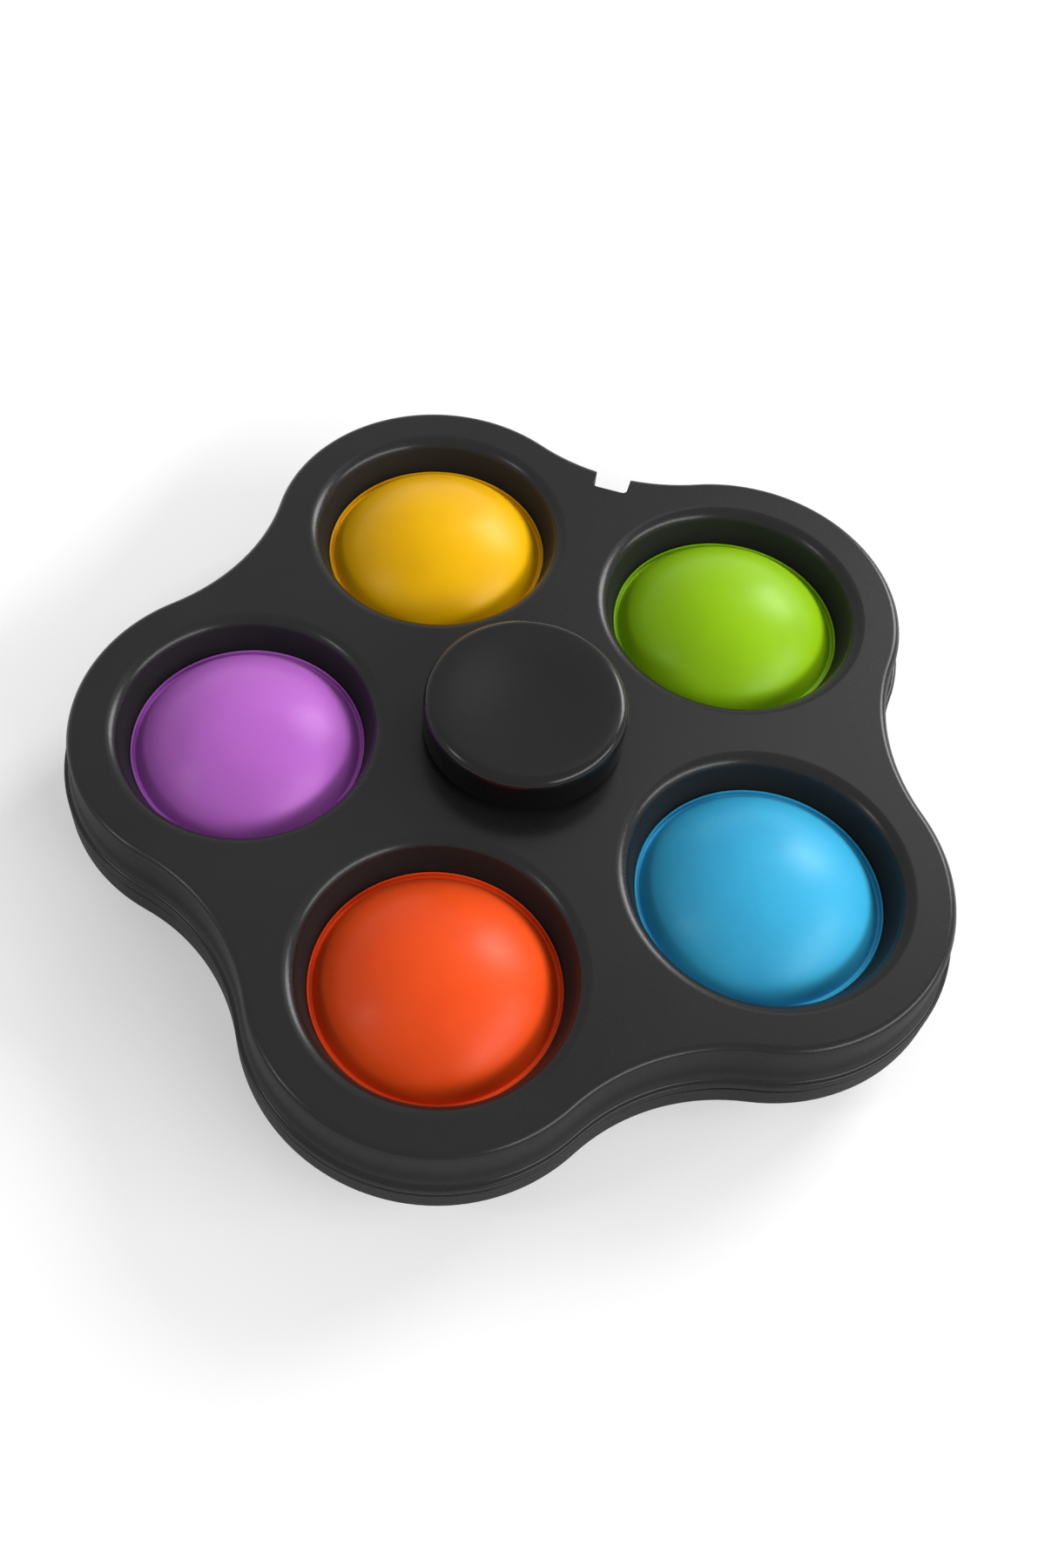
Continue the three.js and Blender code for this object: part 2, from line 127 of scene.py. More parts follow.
def turnedCopy(piece, name, degrees):  # its own mesh, turned round the spin axis
    made = piece.copy()
    made.data = piece.data.copy()
    made.name = name
    bpy.context.scene.collection.objects.link(made)
    workOn(made)
    bpy.ops.object.mode_set(mode="EDIT")
    bpy.ops.mesh.select_all(action="SELECT")
    bpy.ops.transform.rotate(value=-math.radians(degrees), orient_axis="Z", center_override=(0, 0, 0))
    bpy.ops.object.mode_set(mode="OBJECT")
    return made


def joinPieces(pieces):
    nothingSelected()
    for piece in pieces:
        piece.select_set(True)
    bpy.context.view_layer.objects.active = pieces[0]
    bpy.ops.object.join()
    return pieces[0]


def applied(piece, kind, **settings):
    workOn(piece)
    bpy.ops.object.modifier_add(type=kind)
    modifier = piece.modifiers[-1]
    for key, value in settings.items():
        setattr(modifier, key, value)
    bpy.ops.object.modifier_apply(modifier=modifier.name)


def threeSided(piece):  # a cut stays clean when no face has more than three sides
    workOn(piece)
    bpy.ops.object.mode_set(mode="EDIT")
    bpy.ops.mesh.select_mode(type="FACE")
    bpy.ops.mesh.select_all(action="SELECT")
    bpy.ops.mesh.quads_convert_to_tris(quad_method="BEAUTY", ngon_method="BEAUTY")
    bpy.ops.object.mode_set(mode="OBJECT")


def combine(piece, tools, operation):
    for tool in tools:
        threeSided(tool)
        threeSided(piece)
        applied(piece, "BOOLEAN", operation=operation, solver="EXACT", object=tool)
        bpy.data.objects.remove(tool)


def cutAway(piece, *tools):
    combine(piece, tools, "DIFFERENCE")


def joinOn(piece, *tools):
    combine(piece, tools, "UNION")


def smoothed(piece, degrees):  # soft over gentle turns, with flat faces made whole and kept flat
    workOn(piece)
    bpy.ops.object.mode_set(mode="EDIT")
    bpy.ops.mesh.select_all(action="SELECT")
    bpy.ops.mesh.dissolve_limited(angle_limit=math.radians(0.1))
    bpy.ops.object.mode_set(mode="OBJECT")
    bpy.ops.object.shade_smooth_by_angle(angle=math.radians(degrees))
    applied(piece, "WEIGHTED_NORMAL", mode="FACE_AREA", weight=100, keep_sharp=True)


# Materials

def linear(hexColour):
    parts = [int(hexColour[i:i + 2], 16) / 255 for i in (1, 3, 5)]
    return (*[c / 12.92 if c <= 0.04045 else ((c + 0.055) / 1.055) ** 2.4 for c in parts], 1)


def newMaterial(name):
    material = bpy.data.materials.new(name)
    material.use_nodes = True
    tree = material.node_tree
    return material, tree, tree.nodes["Principled BSDF"]


def addNode(tree, kind, inputs, **settings):  # inputs hold values, or sockets to link from
    node = tree.nodes.new("ShaderNode" + kind)
    for key, value in settings.items():
        setattr(node, key, value)
    for name, value in inputs.items():
        if isinstance(value, bpy.types.NodeSocket):
            tree.links.new(value, node.inputs[name])
        else:
            node.inputs[name].default_value = value
    return node


# ABS from a spark-eroded mould: satin black with crisp thin lights on its edges. The upright walls
# slide along the mould as it opens and come out duller. The grain of 0.05 mm is too fine to show,
# so it is drawn six times as coarse
def mouldedAbs(name, dark, pale, faceRough, wallRough):
    material, tree, shader = newMaterial(name)
    place = addNode(tree, "TexCoord", {})
    flow = addNode(tree, "TexNoise", {"Vector": place.outputs["Object"], "Scale": 1 / (14 * mm),
                                      "Detail": 3.0})
    tint = addNode(tree, "ValToRGB", {"Fac": flow.outputs["Fac"]})
    tint.color_ramp.elements[0].position = 0.3
    tint.color_ramp.elements[0].color = linear(dark)
    tint.color_ramp.elements[1].position = 0.7
    tint.color_ramp.elements[1].color = linear(pale)
    grain = addNode(tree, "TexNoise", {"Vector": place.outputs["Object"], "Scale": 1 / (0.3 * mm),
                                       "Detail": 2.0})
    facing = addNode(tree, "SeparateXYZ", {"Vector": place.outputs["Normal"]})
    level = addNode(tree, "Math", {0: facing.outputs["Z"]}, operation="ABSOLUTE")
    rough = addNode(tree, "MapRange", {"Value": level.outputs[0], "From Min": 0.1, "From Max": 0.6,
                                       "To Min": wallRough, "To Max": faceRough},
                    interpolation_type="SMOOTHSTEP")
    spread = addNode(tree, "MapRange", {"Value": grain.outputs["Fac"], "From Min": 0.3, "From Max": 0.7,
                                        "To Min": -0.03, "To Max": 0.04})
    total = addNode(tree, "Math", {0: rough.outputs["Result"], 1: spread.outputs["Result"]}, operation="ADD")
    bump = addNode(tree, "Bump", {"Height": grain.outputs["Fac"], "Strength": 0.15, "Distance": 0.01 * mm})
    tree.links.new(tint.outputs["Color"], shader.inputs["Base Color"])
    tree.links.new(total.outputs[0], shader.inputs["Roughness"])
    tree.links.new(bump.outputs["Normal"], shader.inputs["Normal"])
    shader.inputs["IOR"].default_value = 1.5
    shader.inputs["Specular IOR Level"].default_value = 0.24
    return material


# Silicone rubber from a satin mould: light goes a little way in, so its shades stay saturated,
# and the pigment tints the gloss; the mould's 0.05 mm grain is drawn six times as coarse
def mouldedSilicone(name, colour, deep):
    material, tree, shader = newMaterial(name)
    place = addNode(tree, "TexCoord", {}).outputs["Object"]
    flow = addNode(tree, "TexNoise", {"Vector": place, "Scale": 1 / (9 * mm), "Detail": 2.0})
    tint = addNode(tree, "ValToRGB", {"Fac": flow.outputs["Fac"]})
    tint.color_ramp.elements[0].position = 0.2
    tint.color_ramp.elements[0].color = linear(deep)
    tint.color_ramp.elements[1].position = 0.55
    tint.color_ramp.elements[1].color = linear(colour)
    satin = addNode(tree, "TexNoise", {"Vector": place, "Scale": 1 / (0.3 * mm), "Detail": 2.0})
    rough = addNode(tree, "MapRange", {"Value": satin.outputs["Fac"], "From Min": 0.3, "From Max": 0.7,
                                       "To Min": 0.32, "To Max": 0.4})
    bump = addNode(tree, "Bump", {"Height": satin.outputs["Fac"], "Strength": 0.3, "Distance": 0.01 * mm})
    tree.links.new(tint.outputs["Color"], shader.inputs["Base Color"])
    tree.links.new(rough.outputs["Result"], shader.inputs["Roughness"])
    tree.links.new(bump.outputs["Normal"], shader.inputs["Normal"])
    shader.inputs["IOR"].default_value = 1.41
    shader.inputs["Specular IOR Level"].default_value = 0.38
    shader.inputs["Specular Tint"].default_value = tuple(0.5 + 0.5 * c for c in linear(colour))
    shader.inputs["Subsurface Weight"].default_value = 0.12
    shader.inputs["Subsurface Radius"].default_value = (1.0, 0.7, 0.5)
    shader.inputs["Subsurface Scale"].default_value = 0.6 * mm
    return material


# Bearing steel, ground and polished: fine rings round the axis
def groundSteel(name, colour, roughFrom, roughTo):
    material, tree, shader = newMaterial(name)
    place = addNode(tree, "TexCoord", {}).outputs["Object"]
    rings = addNode(tree, "TexWave", {"Vector": place, "Scale": 1 / (1.2 * mm), "Distortion": 0.6,
                                      "Detail": 2.0}, wave_type="RINGS", rings_direction="Z")
    rough = addNode(tree, "MapRange", {"Value": rings.outputs["Fac"], "To Min": roughFrom, "To Max": roughTo})
    bump = addNode(tree, "Bump", {"Height": rings.outputs["Fac"], "Strength": 0.2, "Distance": 0.005 * mm})
    tree.links.new(rough.outputs["Result"], shader.inputs["Roughness"])
    tree.links.new(bump.outputs["Normal"], shader.inputs["Normal"])
    shader.inputs["Base Color"].default_value = linear(colour)
    shader.inputs["Metallic"].default_value = 1.0
    return material


bodyAbs = mouldedAbs("moulded_abs_satin_black", "#151515", "#1a1a1a", 0.25, 0.7)
capAbs = mouldedAbs("moulded_abs_smooth_black", "#0d0d0d", "#101010", 0.2, 0.2)
bearingSteel = groundSteel("ground_bearing_steel", "#c6c8ca", 0.14, 0.24)
pressedSteel = groundSteel("pressed_sheet_steel", "#a9acaf", 0.3, 0.4)
siliconeShades = {
    "red": ("#ee501b", "#e34817"),
    "blue": ("#3db0dc", "#36a5d4"),
    "green": ("#91c30f", "#88b80d"),
    "yellow": ("#efb602", "#e3aa01"),
    "purple": ("#b666c6", "#ac5fbc"),
}
silicone = {name: mouldedSilicone(name + "_silicone_rubber", *shades)
            for name, shades in siliconeShades.items()}
print("materials:", 4 + len(silicone))


def finished(piece, material, body, slot, *replaced):
    piece.data.materials.clear()
    piece.data.materials.append(material)
    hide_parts(*replaced)
    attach(piece, body)


# Body outline: five lobes joined by hollow waists, set out in plan from the upper tier

plan = {
    "lobeCircle": 29.2,      # from the spin axis to a lobe's centre
    "lobeRadius": 18.8,
    "waistRadius": 22.8,     # of the hollow between two lobes
    "lobeSteps": 44,
    "waistSteps": 18,
    "wall": 1.8,
}
lobes = 5
lobeTurn = 360 / lobes
firstLobe = -90              # the red bubble's lobe, nearest to the camera
halfStep = math.radians(lobeTurn / 2)  # from a lobe to the waist beside it
waistCircle = plan["lobeCircle"] * math.cos(halfStep) + math.sqrt(
    (plan["lobeRadius"] + plan["waistRadius"]) ** 2 - (plan["lobeCircle"] * math.sin(halfStep)) ** 2)
lobeArc = math.degrees(math.atan2(
    waistCircle * math.sin(halfStep), waistCircle * math.cos(halfStep) - plan["lobeCircle"]))
waistArc = lobeArc - lobeTurn / 2


def around(radius, degrees):
    return radius * math.cos(math.radians(degrees)), radius * math.sin(math.radians(degrees))


def fiveFold(piece):
    return joinPieces([piece] + [turnedCopy(piece, "turned", lobeTurn * i) for i in range(1, lobes)])


def outlineFace(name, offset, z):  # the lobed outline as one face, drawn by spinning a vertex
    lobeSize = plan["lobeRadius"] + offset
    lobeX, lobeY = around(plan["lobeCircle"], firstLobe)
    x, y = around(lobeSize, firstLobe - lobeArc)
    piece = startPoint(name, lobeX + x, lobeY + y, z)
    for i in range(lobes):
        lobeX, lobeY = around(plan["lobeCircle"], firstLobe + lobeTurn * i)
        waistX, waistY = around(waistCircle, firstLobe + lobeTurn * (i + 0.5))
        bpy.ops.mesh.spin(steps=plan["lobeSteps"], angle=math.radians(-2 * lobeArc),
                          center=(lobeX * mm, lobeY * mm, 0), axis=(0, 0, 1))
        bpy.ops.mesh.spin(steps=plan["waistSteps"], angle=math.radians(2 * waistArc),
                          center=(waistX * mm, waistY * mm, 0), axis=(0, 0, 1))
    bpy.ops.mesh.select_all(action="SELECT")
    bpy.ops.mesh.remove_doubles(threshold=0.002 * mm)
    bpy.ops.mesh.edge_face_add()
    return piece


def outlineSlab(name, offset, bottom, top):
    piece = outlineFace(name, offset, bottom)
    extrudeBy(0, 0, top - bottom)
    outwards()
    return piece


def stepFace(levels):  # insets or extrudes the selected face through (offset, z) levels
    for (o0, z0), (o1, z1) in zip(levels, levels[1:]):
        if abs(o1 - o0) < 1e-6:
            extrudeBy(0, 0, z1 - z0)
        else:
            bpy.ops.mesh.inset(thickness=(o0 - o1) * mm, depth=abs(z1 - z0) * mm, use_even_offset=True)


def outlineBlock(name, upLevels, downLevels):  # both start at the widest level
    piece = outlineFace(name, *upLevels[0])
    extrudeBy(0, 0, upLevels[1][1] - upLevels[0][1])
    bpy.ops.mesh.select_all(action="SELECT")
    bpy.ops.mesh.normals_make_consistent(inside=False)
    selectFaces(piece, lambda face: face.normal.z > 0.9)
    stepFace(upLevels[1:])
    selectFaces(piece, lambda face: face.normal.z < -0.9)
    stepFace(downLevels)
    outwards()
    return piece


def discSection(radius, bottom, top):
    return [(0, bottom), (radius, bottom), (radius, top), (0, top)]


def atLobes(section, steps):  # the same turned section at each of the five lobes
    return fiveFold(lathe("atLobe", section, steps, 0, -plan["lobeCircle"]))


# Wells, alike above and below: a straight lip round the bubble, then a flare to a rounded mouth

well = {
    "lipRadius": 12.65,
    "lipBottom": 11.55,
    "lipTop": 12.25,
    "mouthRadius": 15.0,
    "mouthEdge": 1.65,       # radius of the rounding that catches the light
    "mouthSteps": 14,
    "wall": 1.6,
    "steps": 128,
}
cuts = {
    "slip": 0.003,           # how far a rounded edge's cut runs past the face, never flush with it
    "past": 1,               # how far a plain cut runs past it
    "low": 5,                # below all that is cut from the upper shell
    "high": 14,              # above all that is cut from the lower shell
}
body = {
    "top": 15.8,
    "bottom": 5.5,
    "hubRadius": 13.3,
    "bearingSeat": 11.3,
    "bearingTop": 14.45,
    "boreRadius": 9.5,
    "boreEdge": 0.3,
    "boreDepth": 3,
}
mirrorHeight = body["top"] + body["bottom"]


def upsideDown(section):
    return [(r, mirrorHeight - z) for r, z in reversed(section)]


def wellSection():
    top, edge = body["top"], well["mouthEdge"]
    rise = top - edge - well["lipTop"]
    run = well["mouthRadius"] - edge - well["lipRadius"]
    lean = 180 - math.degrees(math.atan2(run, rise))
    mouth = arcPoints((well["mouthRadius"], top - edge + cuts["slip"]), edge, lean, 90, well["mouthSteps"])
    foot, over = well["lipBottom"] - cuts["past"], top + cuts["past"]
    return [(0, foot), (well["lipRadius"], foot), (well["lipRadius"], well["lipTop"]), *mouth,
            (well["mouthRadius"], over), (0, over)]


def wellTube():  # the wall round a well, inside the shell
    top = body["top"] - plan["wall"] / 2
    foot = well["lipRadius"] + well["wall"]
    return [(0, well["lipBottom"]), (foot, well["lipBottom"]), (foot, well["lipTop"]),
            (well["mouthRadius"] + well["wall"], top), (0, top)]


def boreSection():  # the hole in the top face, with a rounded edge
    edge, r, top = body["boreEdge"], body["boreRadius"], body["top"]
    foot, over = top - body["boreDepth"], top + cuts["past"]
    return [(0, foot), (r, foot), *arcPoints((r + edge, top - edge + cuts["slip"]), edge, 180, 90, 4),
            (r + edge, over), (0, over)]


# Strap notch, in the waist at +Y

notch = {
    "half": 1.75,
    "floor": 36.3,
    "corner": 0.5,
    "upperMouth": 38.8,      # where the corner of the upper tier is rounded off
    "lowerMouth": 39.8,
    "edge": 0.3,
    "flare": 0.2,            # the sides stand out by this much from the end of the floor's corner
    "wall": 1.8,
    "surroundEnd": 42,       # outside the body
    "over": 2,               # how far the cut runs past the face and the waist
    "depth": 12,             # from the rounded edge through the body
}


def notchCutter(name, below):  # through the body, wider by its rounded edge at the outer face
    n, turn = notch, -1 if below else 1
    face = (body["bottom"] if below else body["top"]) + turn * cuts["slip"]
    x, c, e = n["half"], n["corner"], n["edge"]
    cornerX = x + e - n["flare"] - c
    side = [(cornerX, n["floor"] - e)]
    side += [(px + n["flare"], py)
             for px, py in arcPoints((cornerX, n["floor"] - e + c), c, -90, 0, 4)[1:]]
    for mouth in (n["upperMouth"], n["lowerMouth"]):
        start = side[-1][0]
        side += arcPoints((start + c, mouth - c), c, 180, 90, 4)
    side += [(side[-1][0], n["lowerMouth"] + n["over"])]
    corners = side + [(-px, py) for px, py in reversed(side)]
    piece = startPoint(name, *corners[0], face + turn * n["over"])
    for (x0, y0), (x1, y1) in zip(corners, corners[1:]):
        extrudeBy(x1 - x0, y1 - y0, 0)
    bpy.ops.mesh.select_all(action="SELECT")
    bpy.ops.mesh.edge_face_add()
    extrudeBy(0, 0, -turn * n["over"])
    bpy.ops.mesh.select_all(action="SELECT")
    bpy.ops.mesh.normals_make_consistent(inside=False)
    selectFaces(piece, lambda f: f.normal.z * turn < -0.9)
    stepFace([(h, face - turn * (e - v)) for h, v in arcPoints((0, 0), e, 90, 0, 4)])
    extrudeBy(0, 0, -turn * n["depth"])
    outwards()
    return piece


def notchSurround(extra, bottom, top):  # the wall round the notch, with room to spare
    side = notch["half"] + notch["wall"] + extra
    back, far = notch["floor"] - notch["wall"] - extra, notch["surroundEnd"]
    return slab("notchSurround", [(-side, back), (side, back), (side, far), (-side, far)], bottom, top)


# Pins of the lower shell in sockets of the upper one, at the five waists

pins = {
    "circle": 32.418,
    "radius": 1.4,
    "top": 13.0,
    "chamfer": 0.3,
    "socketRadius": 1.7,
    "socketTop": 13.3,
    "bossRadius": 2.7,
    "steps": 32,
}


def atWaists(section):
    return fiveFold(lathe("atWaist", section, pins["steps"], 0, pins["circle"]))


# Upper shell: top face, rounded edge, plain wall, and a hollow curve down to the wider ledge

upper = {
    "bottom": 9.15,          # upper edge of the parting line
    "topEdge": 0.9,
    "wallFoot": 12.4,        # where the upright wall turns into the hollow curve
    "ledge": 10.2,
    "ledgeEdge": 0.3,
    "tierStep": 1.0,         # how far the lower tier stands out
    "seamEdge": 0.12,
    "hollowSteps": 8,
    "ceiling": 14.0,
}


def ledgeSide():  # from the ledge's rim over the hollow curve and the wall to the top face
    outer, rim = upper["tierStep"], upper["tierStep"] - upper["ledgeEdge"]
    levels = [(outer, upper["bottom"] + upper["seamEdge"])]
    levels += arcPoints((rim, upper["ledge"] - upper["ledgeEdge"]), upper["ledgeEdge"], 0, 90, 4)
    hollow = upper["wallFoot"] - upper["ledge"]
    for i in range(1, upper["hollowSteps"] + 1):
        a = math.radians(90 * i / upper["hollowSteps"])
        levels.append((rim * (1 - math.sin(a)), upper["ledge"] + hollow * (1 - math.cos(a))))
    edge = upper["topEdge"]
    return levels + arcPoints((-edge, body["top"] - edge), edge, 0, 90, 8)


def seamSide(z, turn):  # the small rounding along the parting line
    edge, outer = upper["seamEdge"], upper["tierStep"]
    return [(o, z + turn * h) for o, h in arcPoints((outer - edge, 0), edge, 0, 90, 3)]


bodySmooth = 32              # edges that turn by more degrees stay sharp
upperBody = outlineBlock("upper_body_shell", ledgeSide(), seamSide(upper["bottom"] + upper["seamEdge"], -1))
print("upper shell block:", len(upperBody.data.vertices), "vertices")
rooted = body["top"] - plan["wall"] / 2
hollow = outlineSlab("upperHollow", -plan["wall"], upper["bottom"] - cuts["past"], upper["ceiling"])
cutAway(hollow, atLobes(wellTube(), well["steps"]),
        lathe("hub", discSection(body["hubRadius"], cuts["low"], rooted), well["steps"]),
        atWaists(discSection(pins["bossRadius"], cuts["low"], rooted)),
        notchSurround(0, cuts["low"], rooted))
cutAway(upperBody, hollow, atLobes(wellSection(), well["steps"]),
        lathe("bearingSeat", discSection(body["bearingSeat"], cuts["low"], body["bearingTop"]),
              well["steps"]),
        lathe("bore", boreSection(), well["steps"]),
        atWaists(discSection(pins["socketRadius"], cuts["low"], pins["socketTop"])),
        notchCutter("notchCutter", False))
smoothed(upperBody, bodySmooth)
finished(upperBody, bodyAbs, "spinner", "shell_plastic", "upper_shell")
print("upper shell:", len(upperBody.data.polygons), "faces")

# Lower shell: plain wall with a rounded bottom edge, a tongue that fits inside the upper shell's
# wall, the seats of the bubbles' flanges, and the pins

lower = {
    "top": 8.85,             # lower edge of the parting line
    "groove": 0.4,           # the parting line ends here, where the rim meets the upper shell
    "rim": 9.14,
    "bottomEdge": 0.9,
    "floor": 7.3,
    "tongueOutside": 2.1,    # in from the upper tier's outline
    "tongueInside": 3.3,
    "tongueTop": 10.5,
    "tongueGap": 0.3,        # between the tongue and the notch's wall
    "tongueCut": 12,
    "seatRadius": 15.6,      # of the ring that holds a bubble's flange
    "seatTop": 11.25,
    "seatRecess": 14.6,
    "seatFloor": 9.75,
    "bearingFloor": 6.85,
}
edge = lower["bottomEdge"]
outer = upper["tierStep"]
downSide = [(o, body["bottom"] + edge + h) for o, h in arcPoints((outer - edge, 0), edge, 0, -90, 8)]
upSide = [downSide[0], *seamSide(lower["top"] - upper["seamEdge"], 1),
          (lower["groove"], lower["top"]), (lower["groove"], lower["rim"])]
lowerBody = outlineBlock("lower_body_shell", upSide, downSide)
foot = lower["floor"] - plan["wall"] / 2
tongue = outlineSlab("tongue", -lower["tongueOutside"], foot, lower["tongueTop"])
cutAway(tongue, notchSurround(lower["tongueGap"], lower["top"], lower["tongueCut"]))
joinOn(lowerBody, tongue)
hollow = outlineSlab("lowerHollow", -lower["tongueInside"], lower["floor"], cuts["high"])
cutAway(hollow, lathe("hub", discSection(body["hubRadius"], foot, lower["top"]), well["steps"]),
        notchSurround(0, foot, lower["top"]))
cutAway(lowerBody, hollow)
pinTop = pins["top"] - pins["chamfer"]
pinTip = pins["radius"] - pins["chamfer"]
joinOn(lowerBody, atLobes(discSection(lower["seatRadius"], foot, lower["seatTop"]), well["steps"]),
       atWaists([(0, foot), (pins["radius"], foot), (pins["radius"], pinTop), (pinTip, pins["top"]),
                 (0, pins["top"])]))
cutAway(lowerBody,
        atLobes(discSection(lower["seatRecess"], lower["seatFloor"], cuts["high"]), well["steps"]),
        atLobes(upsideDown(wellSection()), well["steps"]),
        lathe("bearingSeat", discSection(body["bearingSeat"], lower["bearingFloor"], cuts["high"]),
              well["steps"]),
        lathe("bore", upsideDown(boreSection()), well["steps"]),
        notchCutter("notchCutter", True))
smoothed(lowerBody, bodySmooth)
finished(lowerBody, bodyAbs, "spinner", "shell_plastic", "lower_shell")
print("lower shell:", len(lowerBody.data.polygons), "faces")

# Bubbles: one silicone moulding each, a thin dome that rises from a groove inside a low rim

bubble = {
    "crown": 17.8,
    "size": 15.326,          # radius of the dome's sphere
    "wall": 0.8,
    "shoulder": 9.6,         # where the dome begins to fall more steeply than its sphere
    "sideLength": 3.85,
    "sideSlope": 64,         # at the groove, in degrees
    "grooveDepth": 11.4,
    "grooveRadius": 12.29,
    "grooveRun": 0.1,        # from the dome's foot out over the groove's floor
    "rimRadius": 12.55,
    "rimFoot": 0.2,          # the rim's outer side starts this far above the flange
    "rimTop": 11.86,
    "rimEdge": 0.12,
    "neckRadius": 12.2,
    "flangeRadius": 14.3,
    "flangeTop": 11.25,
    "flangeBottom": 10.05,
    "flangeEdge": 0.2,
    "inside": 10.6,
    "bendFrom": 12.4,        # two heights, from just above the groove to above the crown
    "bendTo": 18.3,
    "steps": 112,
    "innerSteps": 16,
    "domeSteps": 26,
    "sideSteps": 14,
    "smooth": 40,
}


def bubbleSection():
    b = bubble
    centre = b["crown"] - b["size"]
    innerSize = b["size"] - b["wall"]
    inside = [(0, b["crown"] - b["wall"])]
    tilt = math.degrees(math.asin(b["inside"] / innerSize))
    inside += [(innerSize * math.sin(a), centre + innerSize * math.cos(a))
               for a in (math.radians(tilt * i / b["innerSteps"]) for i in range(1, b["innerSteps"] + 1))]
    lip = b["flangeEdge"]
    flange = [(b["inside"], b["flangeBottom"]),
              *arcPoints((b["flangeRadius"] - lip, b["flangeBottom"] + lip), lip, -90, 0, 3),
              *arcPoints((b["flangeRadius"] - lip, b["flangeTop"] - lip), lip, 0, 90, 3),
              (b["neckRadius"], b["flangeTop"])]
    e = b["rimEdge"]
    rim = [(b["rimRadius"], b["flangeTop"] + b["rimFoot"]),
           *arcPoints((b["rimRadius"] - e, b["rimTop"] - e), e, 0, 180, 8)]
    tilt = math.asin(b["shoulder"] / b["size"])
    dome = [(b["size"] * math.sin(a), centre + b["size"] * math.cos(a))
            for a in (tilt * (1 - i / b["domeSteps"]) for i in range(b["domeSteps"]))]
    side = dome[:1]
    steps = b["sideSteps"]
    length = b["sideLength"] / steps
    for i in range(steps):  # ever steeper, down to the groove
        slope = tilt + (math.radians(b["sideSlope"]) - tilt) * (i + 0.5) / steps
        r, z = side[-1]
        side.append((r + length * math.cos(slope), z - length * math.sin(slope)))
    r, z = side[-1]
    groove = [(b["grooveRadius"], b["grooveDepth"]), (r + b["grooveRun"], b["grooveDepth"])]
    return inside + flange + rim + groove + side[:0:-1] + dome + [(0, b["crown"])]


redDome = lathe("red_pop_dome", bubbleSection(), bubble["steps"], 0, -plan["lobeCircle"])
domes = {"red": redDome}
for i, colour in enumerate(("blue", "green", "yellow", "purple"), 1):
    domes[colour] = turnedCopy(redDome, colour + "_pop_dome", lobeTurn * i)
for i, (colour, dome) in enumerate(domes.items()):
    smoothed(dome, bubble["smooth"])
    dome.data.materials.clear()
    dome.data.materials.append(silicone[colour])
    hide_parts(colour + "_bubble_web", colour + "_bubble_crown")
    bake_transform(dome)
print("bubbles:", len(domes), "with", len(redDome.data.polygons), "faces each")

# Finger caps: the upper one's pin sits in the lower one's sleeve, inside the bearing

cap = {
    "radius": 10.6,
    "edge": 1.15,            # radius of the rounding round the face
    "faceTop": 21.3,
    "faceThickness": 1.8,
    "dishRadius": 9.35,
    "dishDepth": 0.45,
    "dishCurve": 0.8,        # below 1 the dish is steeper near its rim
    "dishSteps": 24,
    "wall": 1.5,
    "rim": 16.5,             # the skirt ends here, above the body
    "rimEdge": 0.35,
    "neck": 5.674,           # the stem that rests on the bearing's inner race
    "neckEnd": 14.45,
    "fillet": 0.6,
    "pin": 2.4,
    "pinEnd": 7.65,
    "sleeve": 3.7,
    "sleeveEnd": 13.65,
    "bore": 2.7,
    "boreFloor": 7.35,
    "pinChamfer": 0.3,
    "sleeveChamfer": 0.2,
    "steps": 128,
}


def capShell(dished):  # from the neck's end round the hollow and the rim to the middle of the face
    c = cap
    under = c["faceTop"] - c["faceThickness"]
    inner = c["radius"] - c["wall"]
    rimCentre = c["rim"] + c["rimEdge"]
    section = [(c["neck"], c["neckEnd"]),
               *arcPoints((c["neck"] + c["fillet"], under - c["fillet"]), c["fillet"], 180, 90, 4),
               *arcPoints((inner - c["fillet"], under - c["fillet"]), c["fillet"], 90, 0, 4),
               *arcPoints((inner + c["rimEdge"], rimCentre), c["rimEdge"], 180, 270, 4),
               *arcPoints((c["radius"] - c["rimEdge"], rimCentre), c["rimEdge"], -90, 0, 4),
               *arcPoints((c["radius"] - c["edge"], c["faceTop"] - c["edge"]), c["edge"], 0, 90, 12)]
    if dished:
        for i in range(c["dishSteps"]):  # a level rim that sinks softly towards the middle
            share = i / c["dishSteps"]
            sunk = c["dishDepth"] * (1 - math.cos(math.pi * share ** c["dishCurve"])) / 2
            section.append((c["dishRadius"] * (1 - share), c["faceTop"] - sunk))
        section.append((0, c["faceTop"] - c["dishDepth"]))
    else:
        section.append((0, c["faceTop"]))
    return section


c = cap
pinSection = [(0, c["pinEnd"]), (c["pin"] - c["pinChamfer"], c["pinEnd"]),
              (c["pin"], c["pinEnd"] + c["pinChamfer"]), (c["pin"], c["neckEnd"])]
boreFloor = mirrorHeight - c["boreFloor"]  # the sleeve is drawn upside down, as the upper cap is
sleeveEnd = mirrorHeight - c["sleeveEnd"]
sleeveSection = [(0, boreFloor), (c["bore"], boreFloor), (c["bore"], sleeveEnd),
                 (c["sleeve"] - c["sleeveChamfer"], sleeveEnd),
                 (c["sleeve"], sleeveEnd + c["sleeveChamfer"]), (c["sleeve"], c["neckEnd"])]
upperCap = lathe("upper_grip_cap", pinSection + capShell(True), c["steps"])
lowerCap = lathe("lower_grip_cap", upsideDown(sleeveSection + capShell(False)), c["steps"])
for piece, replaced in ((upperCap, "upper_finger_cap"), (lowerCap, "lower_finger_cap")):
    smoothed(piece, bodySmooth)
    finished(piece, capAbs, "finger_grip", "cap_plastic", replaced)
print("finger caps done")

# Bearing: the solids stay, with steel in their slots

